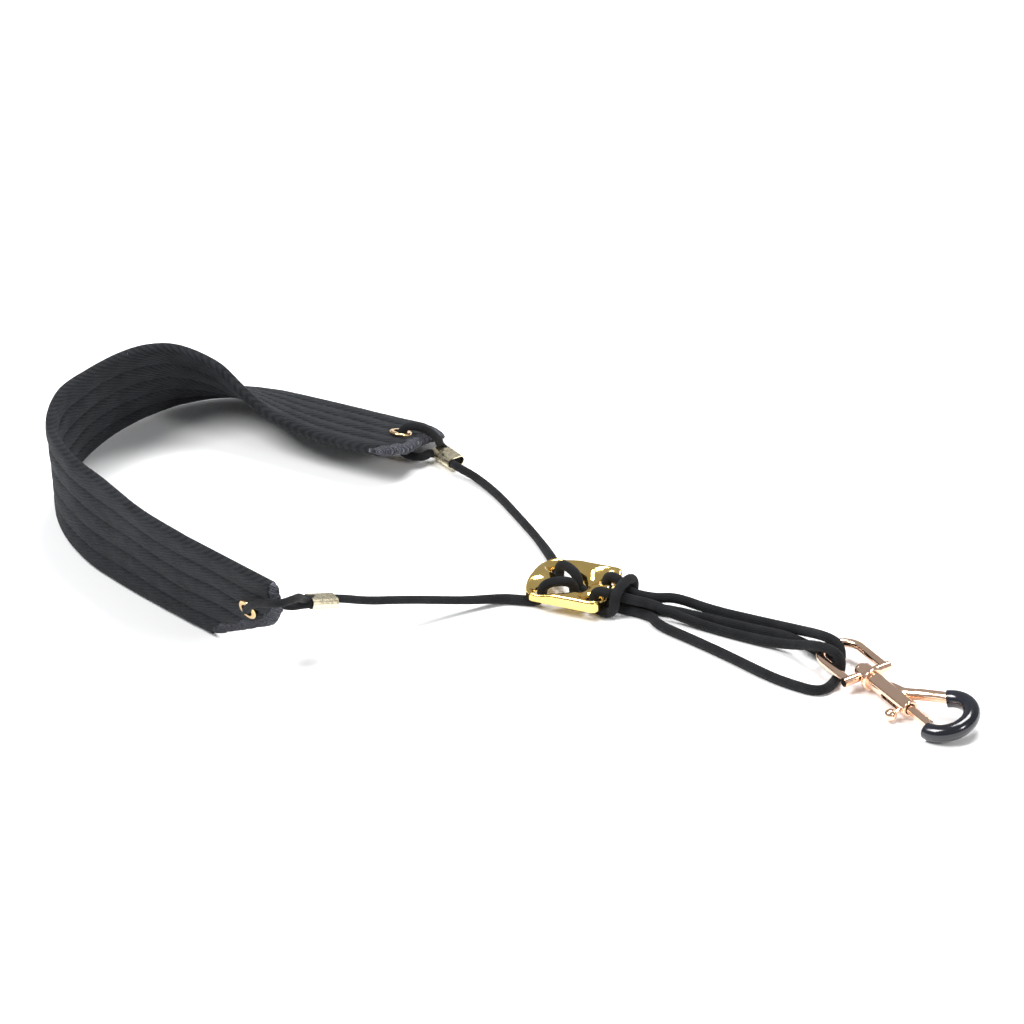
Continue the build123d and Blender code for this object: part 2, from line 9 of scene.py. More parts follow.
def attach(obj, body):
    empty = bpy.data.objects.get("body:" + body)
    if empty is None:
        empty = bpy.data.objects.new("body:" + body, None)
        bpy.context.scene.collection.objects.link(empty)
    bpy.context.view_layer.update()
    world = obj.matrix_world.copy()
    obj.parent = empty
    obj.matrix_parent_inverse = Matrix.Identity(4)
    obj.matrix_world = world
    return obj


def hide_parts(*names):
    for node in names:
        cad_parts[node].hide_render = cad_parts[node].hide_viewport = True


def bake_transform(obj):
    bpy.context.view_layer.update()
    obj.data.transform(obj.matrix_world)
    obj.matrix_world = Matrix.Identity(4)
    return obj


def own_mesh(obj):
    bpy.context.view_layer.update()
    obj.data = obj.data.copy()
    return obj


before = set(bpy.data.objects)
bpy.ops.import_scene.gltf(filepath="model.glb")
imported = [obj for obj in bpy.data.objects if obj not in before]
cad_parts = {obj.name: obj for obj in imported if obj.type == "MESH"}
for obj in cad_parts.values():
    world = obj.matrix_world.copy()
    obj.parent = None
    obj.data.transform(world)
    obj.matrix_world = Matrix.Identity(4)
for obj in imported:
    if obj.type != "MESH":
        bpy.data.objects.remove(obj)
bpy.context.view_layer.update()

MM = 0.001
ROW_X = 9.8
ROW_Y = 29.9
BAND_LIFT = 0.35
BAND_WIDE = 45.0
CORD_THIN = 3.0
CORD_THICK = 3.6


# ---------------------------------------------------------------- places, in millimetres
def at(x, y, z):
    """A point given from the drawing's zero."""
    return Vector((x + ROW_X, y + ROW_Y, z))


def on_band(point):
    """A point of the neck band's middle surface."""
    return at(point[0], point[1], point[2] + BAND_LIFT)


class Place:
    """An origin and three directions, to turn local points into the object's frame."""

    def __init__(self, origin, along, face):
        self.origin = origin
        self.x = Vector(along).normalized()
        self.z = Vector(face)
        self.z = (self.z - self.x * self.z.dot(self.x)).normalized()
        self.y = self.z.cross(self.x)

    def point(self, x, y, z):
        return self.origin + self.x * x + self.y * y + self.z * z

    def points(self, rows):
        return [self.point(*row) for row in rows]


RULINGS = [
    ((-89.3, -93.9, 0.6), (-92.8, -107.3, 43.4)),
    ((-110.2, -88.2, 0.5), (-114.2, -100.5, 43.9)),
    ((-131.1, -81.8, 0.4), (-135.4, -90.3, 44.4)),
    ((-150.6, -74.0, 0.4), (-154.7, -80.8, 44.6)),
    ((-167.6, -61.4, 0.3), (-171.2, -66.0, 44.7)),
    ((-180.6, -44.4, 0.3), (-179.6, -45.6, 45.0)),
    ((-188.2, -24.4, 0.6), (-178.8, -26.0, 44.4)),
    ((-190.2, -6.4, 0.8), (-176.0, -8.4, 43.1)),
    ((-189.2, 7.8, 1.0), (-171.3, 3.0, 41.6)),
    ((-186.2, 20.5, 1.3), (-164.4, 10.6, 38.8)),
    ((-179.6, 35.6, 1.6), (-153.7, 15.9, 32.5)),
    ((-168.6, 47.8, 1.9), (-144.2, 16.6, 24.7)),
    ((-154.6, 54.6, 2.0), (-135.9, 16.3, 19.7)),
    ((-138.0, 57.4, 2.0), (-126.1, 16.4, 16.7)),
    ((-121.0, 59.1, 2.1), (-114.1, 16.6, 15.3)),
    ((-104.0, 60.7, 2.1), (-98.5, 17.8, 15.0)),
]
NEAR_END = Place(on_band(RULINGS[0][0]), (0.966, -0.258, 0.0), (-0.245, -0.919, -0.309))
FAR_END = Place(on_band(RULINGS[-1][0]), (0.992, 0.127, 0.0), (-0.0364, 0.2847, 0.9567))


def ferrule_place(start, direction):
    """Local z runs along the ferrule, local x to the side, level with the floor."""
    along = Vector(direction).normalized()
    side = along.cross(Vector((0, 0, 1))).normalized()
    return Place(start, side, along)


NEAR_FERRULE = ferrule_place(at(-51.1, -92.5, 23.0), (0.51, 0.83, -0.22))
FAR_FERRULE = ferrule_place(at(-83.8, 48.3, 3.6), (0.92, -0.39, 0.0))
TURN = math.radians(9)
PLATE = Place(at(5.9, -10.8, 0), (math.cos(TURN), math.sin(TURN), 0), (0, 0, 1))

# ---------------------------------------------------------------- camera
camera = bpy.data.cameras.new("camera")
camera.lens = 1323      # a long lens, so that the view is nearly parallel
camera.sensor_width = 36
camera_object = bpy.data.objects.new("camera", camera)
bpy.context.collection.objects.link(camera_object)
bpy.context.scene.camera = camera_object
CAMERA_AWAY = 13        # metres
AZIMUTH = math.radians(31)
ELEVATION = math.radians(30)
TARGET = at(-43.5, 30.2, 0) * MM
back = Vector((
    math.sin(AZIMUTH) * math.cos(ELEVATION),
    -math.cos(AZIMUTH) * math.cos(ELEVATION),
    math.sin(ELEVATION),
))
camera_object.location = TARGET + back * CAMERA_AWAY
camera_object.rotation_euler = (-back).to_track_quat("-Z", "Y").to_euler()
camera.clip_end = 40


# ---------------------------------------------------------------- mesh helpers
def new_piece(name, vertices, faces, smooth=True):
    """A mesh object from vertices in millimetres."""
    mesh = bpy.data.meshes.new(name)
    mesh.from_pydata([tuple(c * MM for c in v) for v in vertices], [], faces)
    mesh.polygons.foreach_set("use_smooth", [smooth] * len(mesh.polygons))
    mesh.update()
    piece = bpy.data.objects.new(name, mesh)
    bpy.context.collection.objects.link(piece)
    return piece


def store(piece, name, values):
    """A vector for every vertex, which the piece's material reads."""
    attribute = piece.data.attributes.new(name, "FLOAT_VECTOR", "POINT")
    attribute.data.foreach_set("vector", np.array(values, np.float32).ravel())


def face_out(piece):
    """Turns a closed mesh's faces outwards."""
    work = bmesh.new()
    work.from_mesh(piece.data)
    bmesh.ops.recalc_face_normals(work, faces=work.faces)
    work.to_mesh(piece.data)
    work.free()


# ---------------------------------------------------------------- cords
LINE_STEP = 0.3         # millimetres between the points of a cord's line


def smooth_line(route):
    """Even points along the smooth curve of a route, in millimetres."""
    curve = bpy.data.curves.new("route", "CURVE")
    curve.dimensions = "3D"
    curve.resolution_u = 16
    spline = curve.splines.new("NURBS")
    spline.points.add(len(route) - 1)
    for point, place in zip(spline.points, route):
        point.co = (*place, 1)
    spline.order_u = 3
    spline.use_endpoint_u = True
    carrier = bpy.data.objects.new("route", curve)
    bpy.context.collection.objects.link(carrier)
    mesh = bpy.data.meshes.new_from_object(carrier)
    line = np.array([v.co for v in mesh.vertices])
    bpy.data.objects.remove(carrier)
    bpy.data.meshes.remove(mesh)
    bpy.data.curves.remove(curve)
    far = np.concatenate([[0], np.cumsum(np.linalg.norm(np.diff(line, axis=0), axis=1))])
    even = np.linspace(0, far[-1], int(far[-1] / LINE_STEP) + 1)
    return np.stack([np.interp(even, far, line[:, k]) for k in range(3)], axis=1)


def nearest(line, place):
    """Index of the line's point nearest to a place."""
    return int(np.argmin(np.linalg.norm(line - np.array(place), axis=1)))


def frames_along(line):
    """Directions across a line that turn with it and don't twist."""
    ahead = np.gradient(line, axis=0)
    ahead /= np.linalg.norm(ahead, axis=1)[:, None]
    side = np.cross(ahead[0], [0, 0, 1])
    side /= np.linalg.norm(side)
    sides = [side]
    for direction in ahead[1:]:
        side = sides[-1] - direction * np.dot(sides[-1], direction)
        sides.append(side / np.linalg.norm(side))
    sides = np.array(sides)
    return ahead, sides, np.cross(ahead, sides)


AROUND = 28
PLAIT = 8               # yarns each way round the cord
PLAIT_PITCH = 9.0       # millimetres along the cord for one turn of a yarn


def cord_tube(name, line, sizes, start=0.0):
    """A braided tube along a line, with its yarns raised, and where each point lies on it."""
    ahead, side, up = frames_along(line)
    far = start + np.concatenate([[0], np.cumsum(np.linalg.norm(np.diff(line, axis=0), axis=1))])
    angles = np.arange(AROUND) * 2 * math.pi / AROUND
    vertices = []
    marks = []
    for i in range(len(line)):
        left = PLAIT * (angles + 2 * math.pi * far[i] / PLAIT_PITCH)
        right = PLAIT * (angles - 2 * math.pi * far[i] / PLAIT_PITCH)
        over = 0.5 + 0.5 * np.cos(left) * np.cos(right)
        uneven = 0.03 * noise.noise(Vector((far[i] * 0.11, 3.1, 0.4)))
        radius = sizes[i] / 2 - 0.11 + 0.11 * over + uneven
        ring = line[i] + radius[:, None] * (
            np.cos(angles)[:, None] * side[i] + np.sin(angles)[:, None] * up[i]
        )
        vertices.extend(ring.tolist())
        marks.extend([(math.cos(a), math.sin(a), far[i]) for a in angles])
    faces = []
    for i in range(len(line) - 1):
        for j in range(AROUND):
            k = (j + 1) % AROUND
            faces.append((i * AROUND + j, i * AROUND + k, (i + 1) * AROUND + k, (i + 1) * AROUND + j))
    last = len(line) - 1
    for index, face in ((0, -1), (last, 1)):
        vertices.append(tuple(line[index]))
        marks.append((0, 0, far[index]))
        centre = len(vertices) - 1
        for j in range(AROUND):
            k = (j + 1) % AROUND
            pair = (index * AROUND + j, index * AROUND + k)
            faces.append((centre, *pair) if face > 0 else (centre, *pair[::-1]))
    piece = new_piece(name, vertices, faces)
    store(piece, "lay", marks)
    face_out(piece)
    return piece


def length_of(line):
    """Length of a line, in its own units."""
    return float(np.linalg.norm(np.diff(line, axis=0), axis=1).sum())


HALF = 1.55             # half the distance between the two cords in a ferrule
near_pad = NEAR_FERRULE.points([(-HALF, 0, 9.0), (-HALF, 0, 13.2)]) + [
    at(-40.5, -71.5, 16.0), at(-35.0, -59.3, 12.0), at(-29.2, -48.6, 8.4),
    at(-21.7, -37.0, 4.6),
]
far_pad = FAR_FERRULE.points([(HALF, 0, 9.0), (HALF, 0, 13.2)]) + [
    at(-64.5, 40.8, 2.6), at(-52.5, 35.6, 1.7), at(-39.0, 26.4, 1.7), at(-26.0, 17.4, 1.7),
]
LOW = 1.9
near_plate = PLATE.points([
    (-22.0, -11.2, LOW), (-16.0, -9.8, LOW), (-8.5, -8.0, LOW), (-8.5, -8.0, 9.3),
    (0.9, -2.1, 9.3), (0.9, -1.95, LOW), (29.5, -1.95, LOW),
])
far_plate = PLATE.points([
    (-16.1, 20.5, LOW), (-12.5, 14.6, LOW), (-8.5, 8.0, LOW), (-8.5, 8.0, 9.3),
    (0.9, 2.1, 9.3), (0.9, 1.95, LOW), (29.5, 1.95, LOW),
])
front_route = [
    at(40.5, -13.2, LOW), at(55.3, -15.5, LOW), at(71.8, -18.8, LOW), at(88.9, -23.0, LOW),
    at(99.0, -24.5, LOW), at(113.7, -24.3, LOW), at(112.2, -10.1, LOW), at(112.2, -10.1, 10.0),
    at(102.5, -8.6, 10.0), at(87.5, -3.7, 3.0), at(73.2, -4.9, LOW), at(54.0, -5.6, LOW),
    at(40.5, -6.6, 4.0),
]
back_route = [
    at(39.0, -2.4, LOW), at(51.8, -1.0, LOW), at(70.0, 0.9, LOW), at(87.0, 3.7, LOW),
    at(109.2, -4.9, LOW), at(109.2, -4.9, 10.1), at(101.5, -2.2, 10.1), at(84.0, 7.2, 2.8),
    at(67.2, 6.6, LOW), at(52.0, 4.6, 2.1), at(39.6, 1.0, 5.4),
]
hitch = PLATE.points([
    (29.5, -1.95, 6.0), (19.5, -2.0, 6.1), (14.8, -5.0, 8.9), (9.8, -5.9, 8.9),
    (9.8, -5.9, LOW), (18.0, -7.4, LOW), (18.0, -7.0, 10.9), (19.4, 7.0, 10.9),
    (19.4, 7.4, LOW), (9.8, 5.9, LOW), (9.8, 5.9, 8.9), (14.8, 5.0, 8.9),
    (19.5, 2.0, 6.1), (29.5, 1.95, 6.0),
])
whole_route = (
    near_pad + near_plate + front_route + hitch
    + back_route[::-1] + far_plate[::-1] + far_pad[::-1]
)
whole = smooth_line(whole_route)
first_cut = nearest(whole, PLATE.point(-16.0, -9.8, LOW))
last_cut = nearest(whole, PLATE.point(-12.5, 14.6, LOW))
reach = np.arange(len(whole)) * LINE_STEP
swell = np.clip((reach - reach[first_cut] + 22) / 18, 0, 1)
swell *= np.clip((reach[last_cut] + 22 - reach) / 18, 0, 1)
sizes = CORD_THIN + (CORD_THICK - CORD_THIN) * swell

cords = []


def add_cord(name, line, sizes, start, diameter):
    """A braided cord piece, listed in cords with its path, length and diameter."""
    piece = cord_tube(name, line, sizes, start)
    path = (line * MM).tolist()
    cords.append((piece, path, length_of(line) * MM, diameter * MM))
    return piece


pad_near = add_cord(
    "pad_cord_near", whole[: first_cut + 1], sizes[: first_cut + 1], 0.0, 3.1)
hook_cord = add_cord(
    "hook_cord", whole[first_cut: last_cut + 1], sizes[first_cut: last_cut + 1],
    reach[first_cut], CORD_THICK)
pad_far = add_cord(
    "pad_cord_far", whole[last_cut:], sizes[last_cut:], reach[last_cut], 3.1)
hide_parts("pad_strand_near")
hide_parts("pad_strand_far")
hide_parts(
    "plate_strand_near", "plate_strand_far", "girth_hitch", "hook_strand_front",
    "hook_strand_near", "hook_strand_middle", "hook_strand_back", "ring_wrap_near",
    "ring_wrap_far")
tuple(NEAR_FERRULE.point(0, 0, 11) * MM)
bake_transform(pad_near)
tuple(FAR_FERRULE.point(0, 0, 11) * MM)
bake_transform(pad_far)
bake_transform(hook_cord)

near_loop_route = (
    NEAR_FERRULE.points([(HALF, 0, 9.0), (HALF, 0, -1.6)])
    + NEAR_END.points([
        (35.0, 20.5, -9.5), (29.0, 26.6, -4.8), (29.0, 26.6, 4.8), (38.0, 37.0, 5.2),
        (50.6, 41.2, 4.0), (50.6, 38.0, -3.0), (45.6, 31.8, -8.5),
    ])
    + NEAR_FERRULE.points([(-HALF, 0, -1.6), (-HALF, 0, 9.6)])
)
far_loop_route = (
    FAR_FERRULE.points([(-HALF, 0, 9.0), (-HALF, 0, -1.6)])
    + FAR_END.points([
        (19.5, -19.0, 2.5), (12.8, -20.5, 5.6), (6.6, -22.6, 4.8), (6.6, -22.6, -4.8),
        (15.5, -22.0, -5.2),
    ])
    + FAR_FERRULE.points([(HALF, 0, -1.6), (HALF, 0, 9.6)])
)
for side, route in (("near", near_loop_route), ("far", far_loop_route)):
    line = smooth_line(route)
    loop = add_cord(f"eyelet_cord_{side}", line, np.full(len(line), CORD_THIN), 0.0, CORD_THIN)
    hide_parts(f"cord_loop_{side}")
    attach(loop, "band")

# ---------------------------------------------------------------- neck band surface
NEAR_CUT = ((0, 2.0), (5.4, 4.0), (25.6, 36.5), (33.4, 42.5), (45, 44.4))
NEAR_RIM = ((0, 3.0), (22, 38.9), (31.5, 46.0), (45, 47.8))
FAR_CUT = ((0, 3.5), (5, 11.0), (12, 12.5), (22, 12.0), (33, 12.3), (40, 9.5), (45, 5.5))
FAR_RIM = ((0, 5.5), (1.5, 11.0), (7, 18.0), (12, 16.0), (22, 15.0), (34, 15.5), (41, 12.5), (45, 8.0))
RIBS = 5
CROWN = 2.1
SEWN = 0.95


def along_edge(table, v):
    """How far the band's end reaches at a distance v across it."""
    return float(np.interp(v, [row[0] for row in table], [row[1] for row in table]))


def ruling(u, side):
    """A smooth curve through the rulings' low or high ends."""
    points = [on_band(row[side]) for row in RULINGS]
    i = min(int(u), len(points) - 2)
    t = u - i
    before = points[i - 1] if i > 0 else points[0] * 2 - points[1]
    after = points[i + 2] if i + 2 < len(points) else points[-1] * 2 - points[-2]
    a, b = points[i], points[i + 1]
    return 0.5 * (
        2 * a + (b - before) * t + (2 * before - 5 * a + 4 * b - after) * t * t
        + (3 * a - before - 3 * b + after) * t * t * t
    )


COLUMNS = 91
across = np.linspace(0, BAND_WIDE, COLUMNS)
rows = []
TAIL_ROWS = 46
for i in range(TAIL_ROWS):
    share = 1 - i / TAIL_ROWS
    rows.append([
        NEAR_END.point(share * along_edge(NEAR_CUT, v), v, 0) for v in across
    ])
MAIN_ROWS = 330
for i in range(MAIN_ROWS + 1):
    u = (len(RULINGS) - 1) * i / MAIN_ROWS
    low, high = ruling(u, 0), ruling(u, 1)
    rows.append([low.lerp(high, v / BAND_WIDE) for v in across])
FAR_ROWS = 16
for i in range(1, FAR_ROWS + 1):
    share = i / FAR_ROWS
    rows.append([
        FAR_END.point(share * along_edge(FAR_CUT, v), -v, 0) for v in across
    ])
middle = np.array([[tuple(p) for p in row] for row in rows])
du = np.gradient(middle, axis=0)
dv = np.gradient(middle, axis=1)
face = np.cross(du, dv)
face /= np.linalg.norm(face, axis=2)[:, :, None]
if np.dot(face[TAIL_ROWS, COLUMNS // 2], NEAR_END.z) < 0:
    face = -face
steps = np.linalg.norm(du, axis=2)
travel = np.cumsum(steps, axis=0)
travel = travel - travel[TAIL_ROWS][None, :]


def rib_height(s, v, side):
    """Half the band's thickness at s along and v across: padded ribs between sewn lines."""
    waver = 0.55 * math.sin(s / 6.3 + 1.7 * side) + 0.5 * noise.noise(Vector((s * 0.09, v * 0.05, 5 * side)))
    place = (v + waver * math.sin(math.pi * v / BAND_WIDE)) / BAND_WIDE * RIBS
    phase = place - math.floor(place)
    crown = (1 - abs(2 * phase - 1) ** 2.6) ** 0.62 if 0 < phase < 1 else 0.0
    pucker = 0.10 * math.sin(s * 2 * math.pi / 3.1 + math.floor(place) * 1.3) * (1 - crown)
    lump = 0.16 * noise.noise(Vector((s * 0.16, v * 0.24, 9 + side)))
    height = SEWN + (CROWN - SEWN) * crown + pucker * 0.6 + lump * crown
    edge = min(v, BAND_WIDE - v)
    if edge < 1.6:
        height = min(height, 0.35 + 1.5 * math.sqrt(max(0.0, 1 - (1 - edge / 1.6) ** 2)))
    return min(height, CROWN + 0.12)


vertices = []
marks = []
last_row = len(rows) - 1
for i in range(len(rows)):
    for side in (0, 1):
        order = range(COLUMNS) if side == 0 else range(COLUMNS - 1, -1, -1)
        for j in order:
            sign = 1 if side == 0 else -1
            height = rib_height(travel[i, j], across[j], side)
            waver = 0.16 * noise.noise(Vector((travel[i, j] * 0.2, side, across[j] * 0.01)))
            edge = 1.0 if j in (0, COLUMNS - 1) else 0.0
            place = middle[i, j] + face[i, j] * sign * height
            place = place + dv[i, j] / np.linalg.norm(dv[i, j]) * waver * edge
            vertices.append(tuple(place))
            marks.append((travel[i, j], across[j], float(side)))
ring = 2 * COLUMNS
faces = []
for i in range(last_row):
    for j in range(ring):
        k = (j + 1) % ring
        faces.append((i * ring + j, i * ring + k, (i + 1) * ring + k, (i + 1) * ring + j))
for i in (0, last_row):
    for j in range(COLUMNS - 1):
        a, b = i * ring + j, i * ring + j + 1
        c, d = i * ring + ring - 2 - j, i * ring + ring - 1 - j
        faces.append((a, b, c, d))
band = new_piece("padded_band", vertices, faces)
store(band, "cloth", marks)
face_out(band)
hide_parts("neck_band")
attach(band, "band")


# ---------------------------------------------------------------- hems
def add_hem(name, place, cut, rim, sign, seed):
    """The overlocked end of the band: a raised strip of thread wrapped round the cut edge."""
    long_way = 260
    wide = 16
    vertices = []
    marks = []
    line = []
    for i in range(long_way + 1):
        v = BAND_WIDE * i / long_way
        inner = along_edge(cut, v) - 1.2
        outer = max(along_edge(rim, v), inner + 1.4)
        line.append((v, inner, outer))
    far = 0.0
    before = None
    for v, inner, outer in line:
        here = Vector((outer, v))
        if before is not None:
            far += (here - before).length
        before = here
        for side in (1, -1):
            order = range(wide) if side == 1 else range(wide - 1, -1, -1)
            for j in order:
                t = j / (wide - 1)
                bulge = 1.95 * (1 - t ** 3) ** 0.5 if t < 1 else 0.0
                bulge = max(bulge, 0.25) * (0.86 + 0.14 * min(1, 5 * t))
                bulge *= min(1.0, 0.35 + 0.65 * min(v, BAND_WIDE - v) / 3.0)
                thread = abs(math.sin(math.pi * (far + 0.7 * t) / 0.95)) ** 0.6
                fuzz = noise.noise(Vector((far * 0.9, t * 2.3, seed + side)))
                rough = noise.noise(Vector((far * 0.23, 0.5, seed)))
                bulge = bulge - 0.22 + 0.22 * thread + 0.16 * fuzz
                ragged = noise.noise(Vector((far * 1.1, 3.5, seed)))
                shift = (0.7 * rough + 0.55 * ragged) * t
                x = inner + (outer - inner) * t + shift + 0.25 * fuzz * t - 0.5 * t
                vertices.append(tuple(place.point(x, sign * v, side * bulge)))
                # the third value, the stitch height, also sets the hem material's painted highlight and
                # painted shade
                marks.append((far, 5 * t, thread))
    ring = 2 * wide
    faces = []
    for i in range(long_way):
        for j in range(ring):
            k = (j + 1) % ring
            faces.append((i * ring + j, i * ring + k, (i + 1) * ring + k, (i + 1) * ring + j))
    for i in (0, long_way):
        for j in range(wide - 1):
            a, b = i * ring + j, i * ring + j + 1
            c, d = i * ring + ring - 2 - j, i * ring + ring - 1 - j
            faces.append((a, b, c, d))
    hem = new_piece(name, vertices, faces)
    store(hem, "cloth", marks)
    face_out(hem)
    return hem


hem_near = add_hem("hem_stitching_near", NEAR_END, NEAR_CUT, NEAR_RIM, 1, 2.0)
hem_far = add_hem("hem_stitching_far", FAR_END, FAR_CUT, FAR_RIM, -1, 7.0)
for hem, node in ((hem_near, "end_hem_near"), (hem_far, "end_hem_far")):
    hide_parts(node)
    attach(hem, "band")


# ---------------------------------------------------------------- adjusting plate
BASE = 4.1
TOP = 8.9


def rounded(points, radius, steps=10):
    """A closed outline with its corners rounded, as points about half a millimetre apart."""
    outline = []
    count = len(points)
    for i in range(count):
        a, b, c = (Vector(points[(i + k - 1) % count]) for k in range(3))
        size = radius[i] if isinstance(radius, (list, tuple)) else radius
        first = (a - b).normalized()
        second = (c - b).normalized()
        half = math.acos(max(-1, min(1, first.dot(second)))) / 2
        reach = min(size / math.tan(half), 0.49 * (a - b).length, 0.49 * (c - b).length)
        start, end = b + first * reach, b + second * reach
        for k in range(steps + 1):
            t = k / steps
            outline.append(start.lerp(b, t).lerp(b.lerp(end, t), t))
    return outline


def even_outline(outline, step):
    """The same outline at even steps."""
    line = np.array([tuple(p) for p in outline] + [tuple(outline[0])])
    far = np.concatenate([[0], np.cumsum(np.linalg.norm(np.diff(line, axis=0), axis=1))])
    even = np.linspace(0, far[-1], int(far[-1] / step) + 1)[:-1]
    return np.stack([np.interp(even, far, line[:, k]) for k in range(2)], axis=1)


arc = [(-10.8 - 4.6 * math.sqrt(max(0, 1 - (y / 13.3) ** 2)), y) for y in np.linspace(11.4, -11.4, 13)]
outer_outline = rounded([(13.8, -13.3), (13.8, 13.3), (-10.8, 13.3)] + arc + [(-10.8, -13.3)],
                        [3.4, 3.4, 2.6] + [1.0] * 13 + [2.6])
heart = [
    (-8.9, 11.1), (-11.3, 9.6), (-10.9, 6.6), (-8.2, 4.3), (-6.7, 1.6), (-6.6, 0), (-6.7, -1.6),
    (-8.2, -4.3), (-10.9, -6.6), (-11.3, -9.6), (-8.9, -11.1), (-6.2, -10.0),
    (3.6, -3.0), (5.5, 0), (3.6, 3.0), (-6.2, 10.0),
]
heart_outline = rounded(heart, 3.0)
loops = [even_outline(outer_outline, 0.4), even_outline(heart_outline, 0.35)]
for y in (5.9, -5.9):
    ring = [(9.8 + 2.6 * math.cos(a), y + 2.6 * math.sin(a)) for a in np.linspace(0, 2 * math.pi, 49)[:-1]]
    loops.append(np.array(ring))


def distance(points, loop):
    """Shortest distance from each point to a closed outline."""
    a = loop
    b = np.roll(loop, -1, axis=0)
    ab = b - a
    best = np.full(len(points), 1e9)
    for i in range(len(a)):
        t = np.clip(((points - a[i]) @ ab[i]) / (ab[i] @ ab[i]), 0, 1)
        gap = np.linalg.norm(points - (a[i] + t[:, None] * ab[i]), axis=1)
        best = np.minimum(best, gap)
    return best


def within(points, loop):
    """Whether each point is inside a closed outline."""
    x, y = points[:, 0], points[:, 1]
    inside = np.zeros(len(points), bool)
    for (x0, y0), (x1, y1) in zip(loop, np.roll(loop, -1, axis=0)):
        hit = ((y0 > y) != (y1 > y)) & (x < (x1 - x0) * (y - y0) / (y1 - y0 + 1e-12) + x0)
        inside ^= hit
    return inside


def plate_top(points):
    """Height of the plate's dished upper face."""
    rim = distance(points, loops[0])
    top = np.full(len(points), TOP)
    heart_gap = distance(points, loops[1])
    top -= 3.0 * np.clip(1 - heart_gap / 4.6, 0, 1) ** 1.7
    for k in (2, 3):
        gap = distance(points, loops[k])
        top -= 3.2 * np.clip(1 - gap / 4.4, 0, 1) ** 1.5
    for y in (5.4, -5.4):
        lane = np.clip((points[:, 0] - 8.0) / 3.0, 0, 1) * np.clip(1 - np.abs(points[:, 1] - y) / 3.9, 0, 1)
        saddle = 2.25 * (lane * lane * (3 - 2 * lane)) ** 0.8
        top = np.minimum(top, TOP - saddle)
    top -= 0.75 * np.exp(-((points[:, 0] + 2) / 9) ** 2 - (np.abs(points[:, 1]) / 12) ** 4)
    edge = np.clip(1 - rim / 1.7, 0, 1)
    return np.maximum(top, BASE + 1.3) - 1.1 * (1 - np.sqrt(np.maximum(0, 1 - edge ** 2)))


grid = []
for x in np.arange(-15.3, 13.7, 0.42):
    for y in np.arange(-13.2, 13.3, 0.42):
        grid.append((x, y))
grid = np.array(grid)
keep = within(grid, loops[0]) & (distance(grid, loops[0]) > 0.3)
for loop in loops[1:]:
    keep &= ~within(grid, loop) & (distance(grid, loop) > 0.28)
grid = grid[keep]
flat = [tuple(p) for loop in loops for p in loop]
edges = []
spans = []
count = 0
for loop in loops:
    spans.append((count, len(loop)))
    edges.extend((count + i, count + (i + 1) % len(loop)) for i in range(len(loop)))
    count += len(loop)
flat += [tuple(p) for p in grid]
result = delaunay_2d_cdt([Vector(p) for p in flat], edges, [], 0, 1e-6)
cells = [tuple(t) for t in result[2]]
spots = np.array([tuple(p) for p in result[0]])
centres = np.array([spots[list(c)].mean(axis=0) for c in cells])
good = within(centres, loops[0])
for loop in loops[1:]:
    good &= ~within(centres, loop)
cells = [c for c, ok in zip(cells, good) if ok]
top = plate_top(spots)
vertices = [tuple(PLATE.point(x, y, z)) for (x, y), z in zip(spots, top)]
bottom_start = len(vertices)
gap = np.min([distance(spots, loop) for loop in loops], axis=0)
low = BASE + 0.5 * np.clip(1 - gap / 0.8, 0, 1) ** 2
vertices += [tuple(PLATE.point(x, y, z)) for (x, y), z in zip(spots, low)]
faces = [tuple(c) for c in cells] + [tuple(bottom_start + i for i in reversed(c)) for c in cells]
index_of = {}
for new, olds in enumerate(result[3]):
    for old in olds:
        index_of[old] = new
for start, size in spans:
    names = [index_of[start + i] for i in range(size)]
    levels = [names]
    for share in (0.3, 0.65):
        level = []
        for n in names:
            z = top[n] + (low[n] - top[n]) * share
            vertices.append(tuple(PLATE.point(*spots[n], z)))
            level.append(len(vertices) - 1)
        levels.append(level)
    levels.append([bottom_start + n for n in names])
    for upper, lower in zip(levels, levels[1:]):
        for i in range(size):
            k = (i + 1) % size
            faces.append((upper[i], upper[k], lower[k], lower[i]))
plate = new_piece("dished_plate", vertices, faces)
face_out(plate)
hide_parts("adjuster_plate")
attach(plate, "adjuster")
normals = plate.modifiers.new("normals", "WEIGHTED_NORMAL")
normals.keep_sharp = True


# ---------------------------------------------------------------- trigger spring
HOOK_HEADING = math.radians(-25.5)
HOOK_DIP = math.radians(2.0)
HOOK_ZERO = at(127.1, -12.6, 5.3)
HOOK_AXIS = Vector((
    math.cos(HOOK_HEADING) * math.cos(HOOK_DIP),
    math.sin(HOOK_HEADING) * math.cos(HOOK_DIP),
    -math.sin(HOOK_DIP)))
SPRING_FOOT = 1.95
SPRING_LONG = 12.7
SPRING_TURNS = 7
SPRING_RADIUS = 1.6
SPRING_WIRE = 0.4


